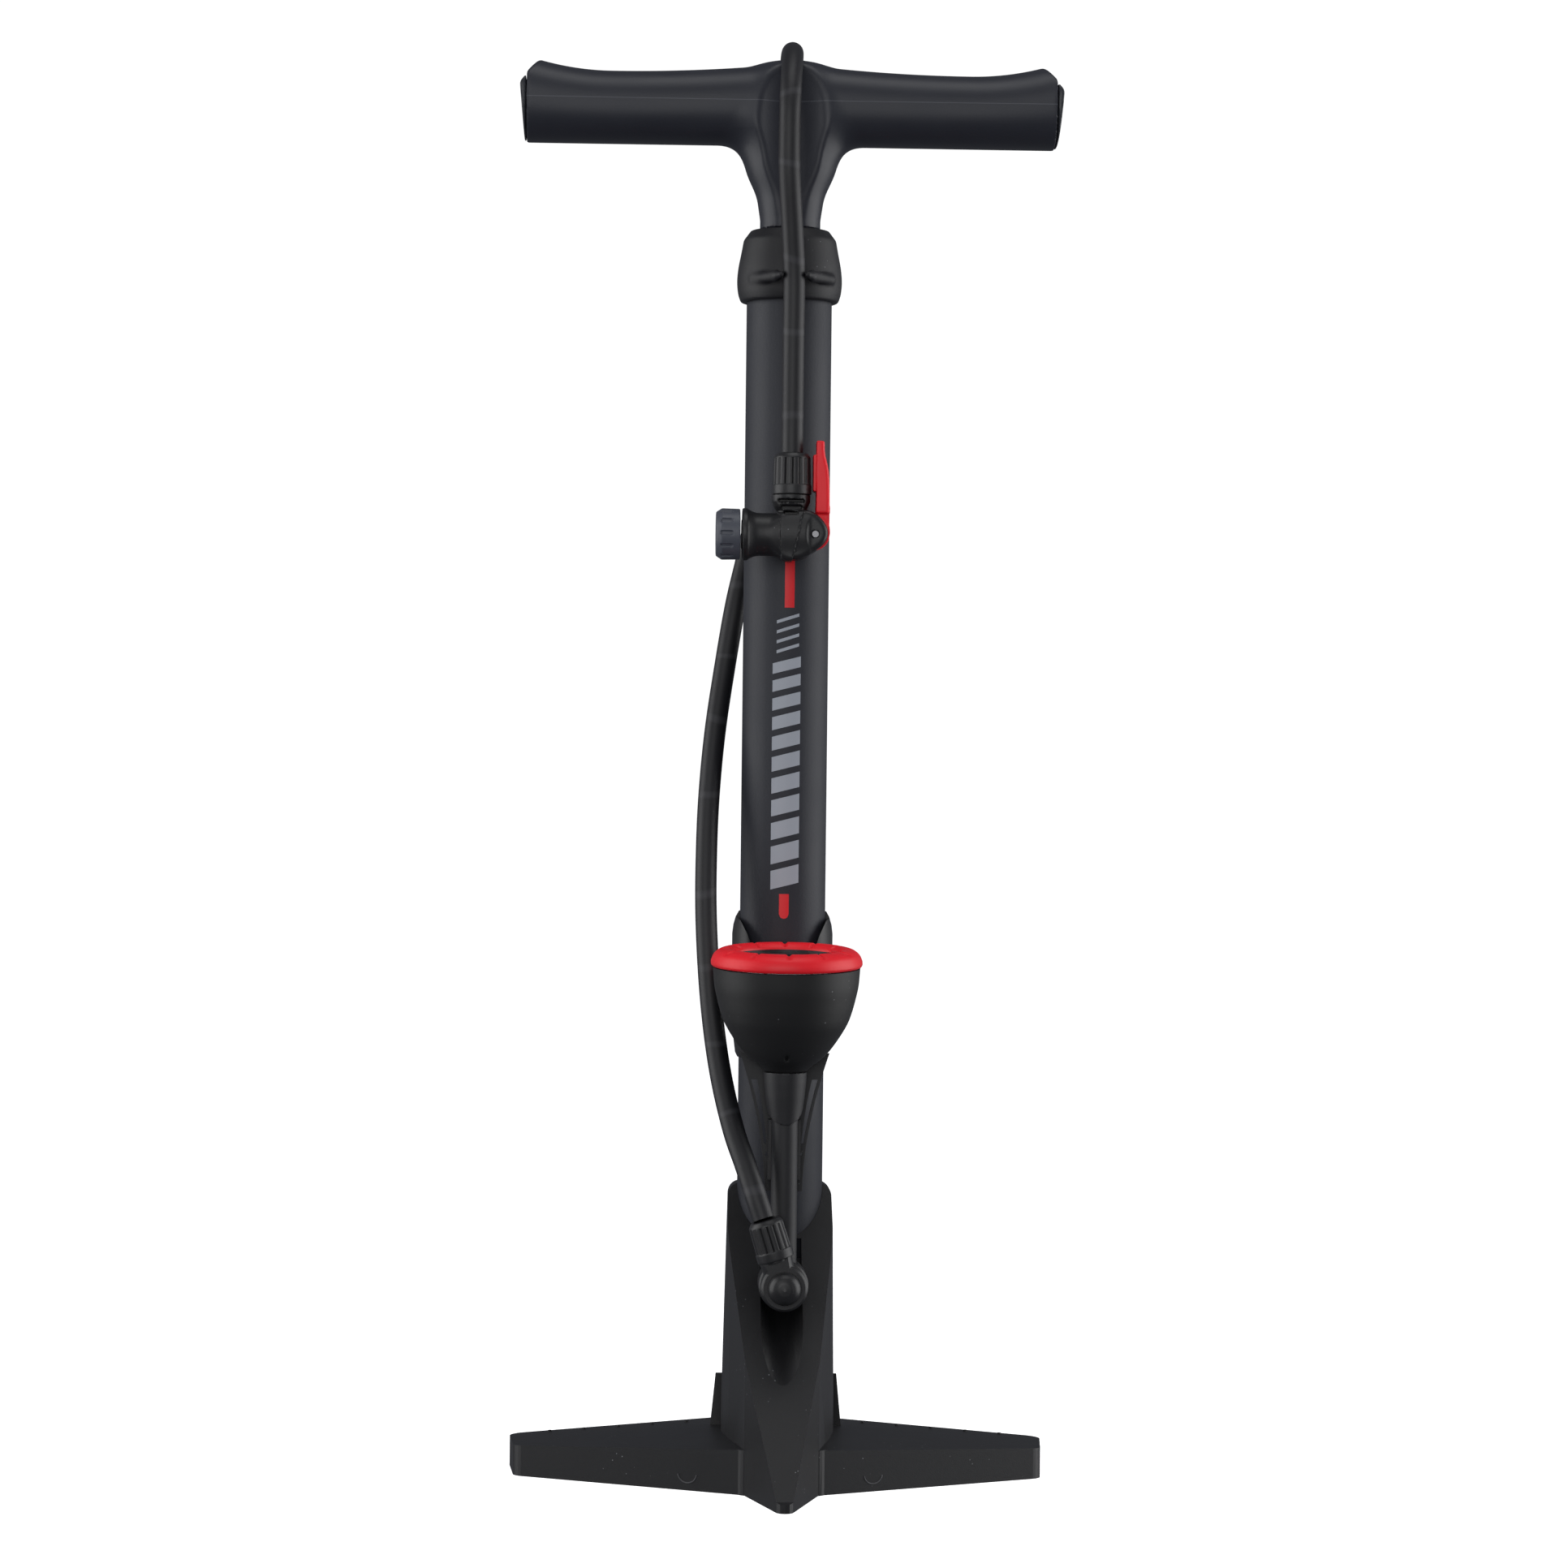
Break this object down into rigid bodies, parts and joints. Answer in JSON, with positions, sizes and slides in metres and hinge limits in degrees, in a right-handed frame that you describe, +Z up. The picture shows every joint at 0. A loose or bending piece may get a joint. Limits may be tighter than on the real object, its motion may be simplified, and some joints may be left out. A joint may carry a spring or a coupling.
{
  "type": "floor bike pump",
  "caption": "Upright floor pump for tyres: T-handle, slim barrel, winged foot, top-reading gauge on a stem, and a hose stored over the handle with a lever valve head.",
  "frame": {"origin": "on the floor, below the middle of the foot's plan box; the barrel's axis stands 32 mm behind it", "axes": "+Z up along the barrel, -Y to the front (gauge and toe side), +X to the right seen from the front"},
  "size_m": [0.24, 0.152, 0.6378],
  "materials": {
    "foot_plastic": "matte moulded, light scuffs",
    "stud_plastic": "matte",
    "zinc_steel": "zinc plated",
    "spring_steel": "drawn wire",
    "pin_steel": "bright pin",
    "rod_steel": "polished rod",
    "barrel_coat": "fine textured powder coat",
    "cap_plastic": "satin moulded",
    "bracket_plastic": "satin moulded",
    "bowl_plastic": "satin moulded",
    "stem_plastic": "satin extruded",
    "fitting_plastic": "semi-gloss moulded",
    "nut_plastic": "satin moulded, ribbed",
    "head_plastic": "satin moulded",
    "inner_plastic": "natural moulded",
    "grey_plastic": "satin slate grey",
    "red_plastic": "semi-gloss moulded",
    "handle_plastic": "satin moulded, mould seam",
    "plug_plastic": "satin moulded",
    "dial_print": "printed scale with numbers",
    "needle_paint": "red lacquer",
    "clear_lens": "clear moulded window",
    "brass": "turned",
    "seal_rubber": "smooth",
    "hose_rubber": "smooth, medium gloss"
  },
  "bodies": {
    "pump_body": {"foot": "foot_plastic", "foot_grip_studs": "stud_plastic", "foot_screws": "zinc_steel", "foot_plug": "inner_plastic", "foot_plug_seal": "seal_rubber", "check_spring": "spring_steel", "barrel": "barrel_coat", "top_cap": "cap_plastic", "guide_bush": "inner_plastic", "gauge_bracket": "bracket_plastic", "bracket_screw": "zinc_steel", "outlet_block": "fitting_plastic", "outlet_seal": "seal_rubber", "stem_tube": "stem_plastic", "stem_seals": "seal_rubber", "stem_collar": "bowl_plastic", "gauge_bowl": "bowl_plastic", "gauge_socket": "brass", "bourdon_tube": "brass", "gauge_movement": "zinc_steel", "gauge_dial": "dial_print", "gauge_lens": "clear_lens", "lens_retainer": "bracket_plastic", "banjo_body": "fitting_plastic", "banjo_bolt": "fitting_plastic", "banjo_washers": "seal_rubber", "hose_nut_lower": "nut_plastic", "hose_rear": "hose_rubber", "hose_front": "hose_rubber", "hose_nut_upper": "nut_plastic", "head_neck": "head_plastic", "head_body": "head_plastic", "lever_pin": "pin_steel", "valve_gland": "seal_rubber", "valve_cap_nut": "grey_plastic"},
    "plunger": {"piston_rod": "rod_steel", "piston": "inner_plastic", "piston_seal": "seal_rubber", "piston_washer": "zinc_steel", "piston_nut": "zinc_steel", "rod_bumper": "seal_rubber", "handle": "handle_plastic", "handle_pin": "pin_steel", "end_plug_left": "plug_plastic", "end_plug_right": "plug_plastic", "hose_over_handle": "hose_rubber"},
    "needle": {"gauge_needle": "needle_paint"},
    "bezel": {"gauge_bezel": "red_plastic", "target_marker": "red_plastic"},
    "check_valve": {"check_ball": "zinc_steel"},
    "lever": {"head_lever": "red_plastic"},
    "head_plunger": {"head_plunger": "inner_plastic", "plunger_seal": "seal_rubber"}
  },
  "joints": [
    {"name": "handle_lift", "type": "slide", "parent": "pump_body", "child": "plunger", "axis": [0, 0, 1], "range_m": [0, 0.355]},
    {"name": "needle_swing", "type": "hinge", "parent": "pump_body", "child": "needle", "pos_m": [0, -0.0258, 0.22591], "axis": [0, 0.0663, -0.9978], "range_deg": [0, 270], "stiffness_Nm_per_rad": 0.0005, "springref_deg": -11.46},
    {"name": "bezel_turn", "type": "hinge", "parent": "pump_body", "child": "bezel", "pos_m": [0, -0.0262, 0.23189], "axis": [0, 0.0663, -0.9978], "continuous": true},
    {"name": "check_valve_open", "type": "slide", "parent": "pump_body", "child": "check_valve", "axis": [0, 0, -1], "range_m": [0, 0.0015], "stiffness_N_per_m": 150, "springref_m": -0.001, "deforming": ["check_spring"]},
    {"name": "lever_swing", "type": "hinge", "parent": "pump_body", "child": "lever", "pos_m": [0.0112, 0.002, 0.417], "axis": [0, 1, 0], "range_deg": [0, 90]},
    {"name": "gland_press", "type": "slide", "parent": "pump_body", "child": "head_plunger", "axis": [-1, 0, 0], "range_m": [0, 0.002]}
  ],
  "couplings": [
    {"joint": "gland_press", "follows": "lever_swing", "m_per_rad": 0.00127}
  ]
}
